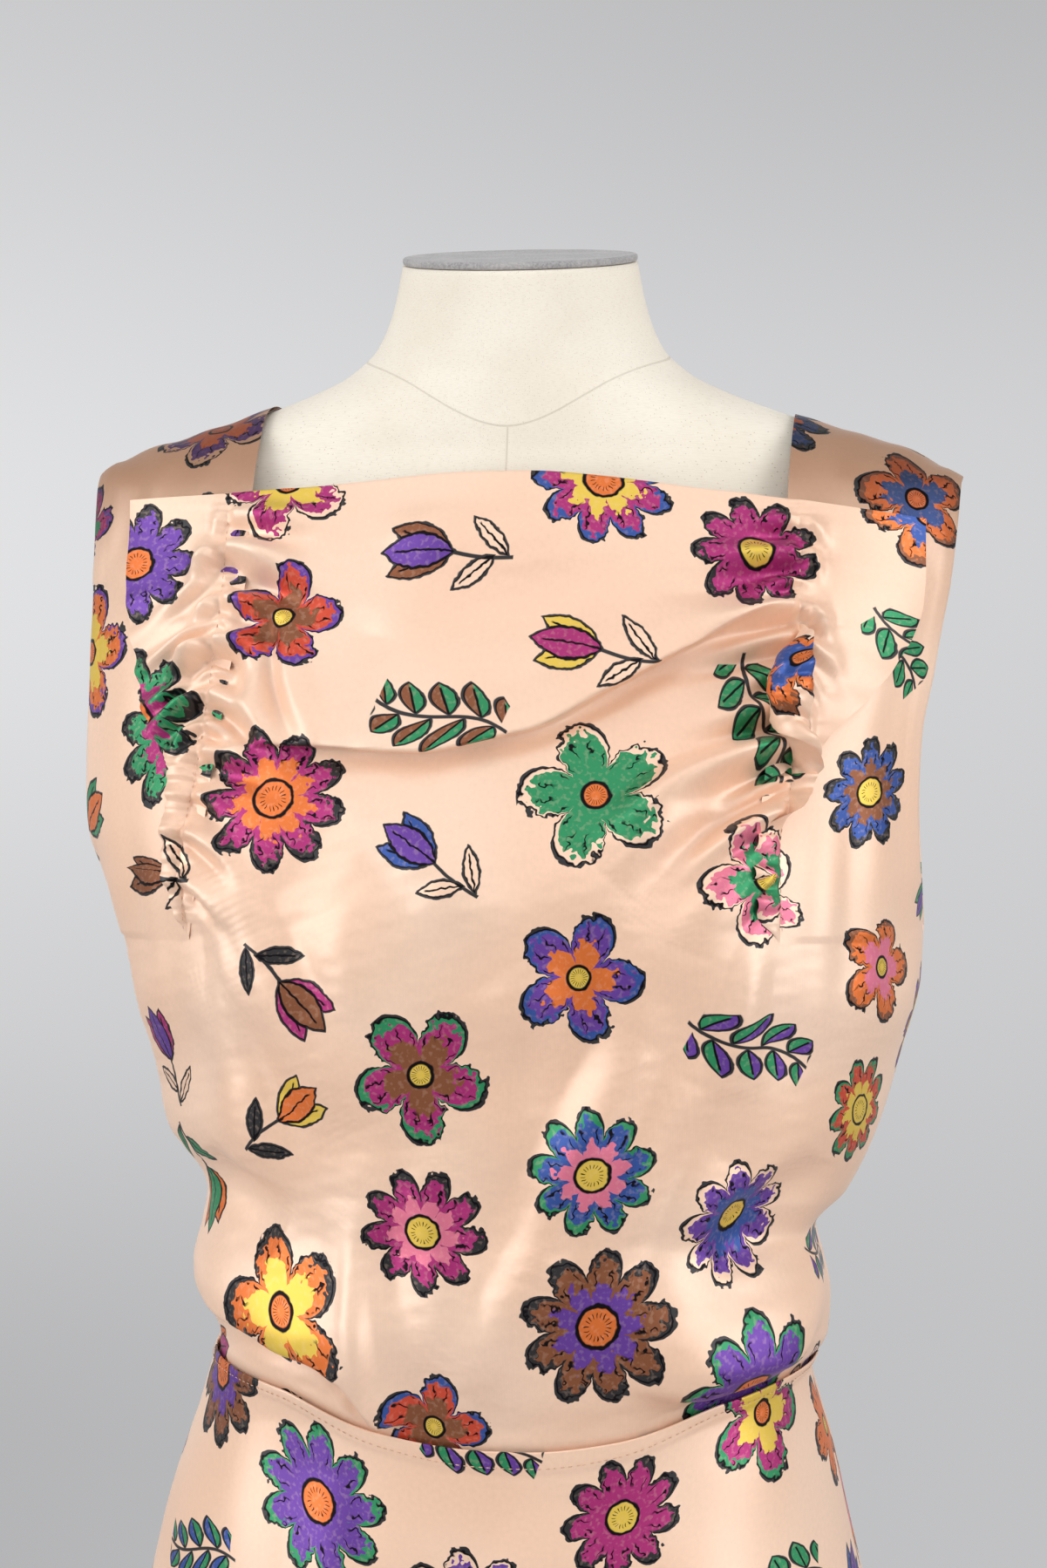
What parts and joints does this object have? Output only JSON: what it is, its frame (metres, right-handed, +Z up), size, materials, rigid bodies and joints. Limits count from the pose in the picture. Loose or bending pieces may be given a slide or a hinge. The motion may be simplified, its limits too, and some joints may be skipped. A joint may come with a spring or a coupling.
{
  "type": "satin gown on dress form",
  "caption": "Sleeveless floor-length satin gown with a straight high neckline, slashed and gathered front and bloused waist, worn by a limbless linen dress form on a round stand.",
  "frame": {"origin": "centre of the stand base's underside, on the floor", "axes": "+Z up, the gown's front faces -Y, +X is the wearer's left"},
  "size_m": [0.766, 0.7188, 1.5103],
  "materials": {
    "satin": "printed blush satin",
    "linen": "natural linen weave",
    "felt": "grey felt",
    "stand_metal": "satin black paint"
  },
  "bodies": {
    "root": {"front_bodice": "satin", "back_bodice": "satin", "skirt_front": "satin", "skirt_back": "satin", "form_torso": "linen", "neck_cap": "felt", "stand_collar": "stand_metal", "stand_pole": "stand_metal", "stand_base": "stand_metal"}
  },
  "joints": []
}
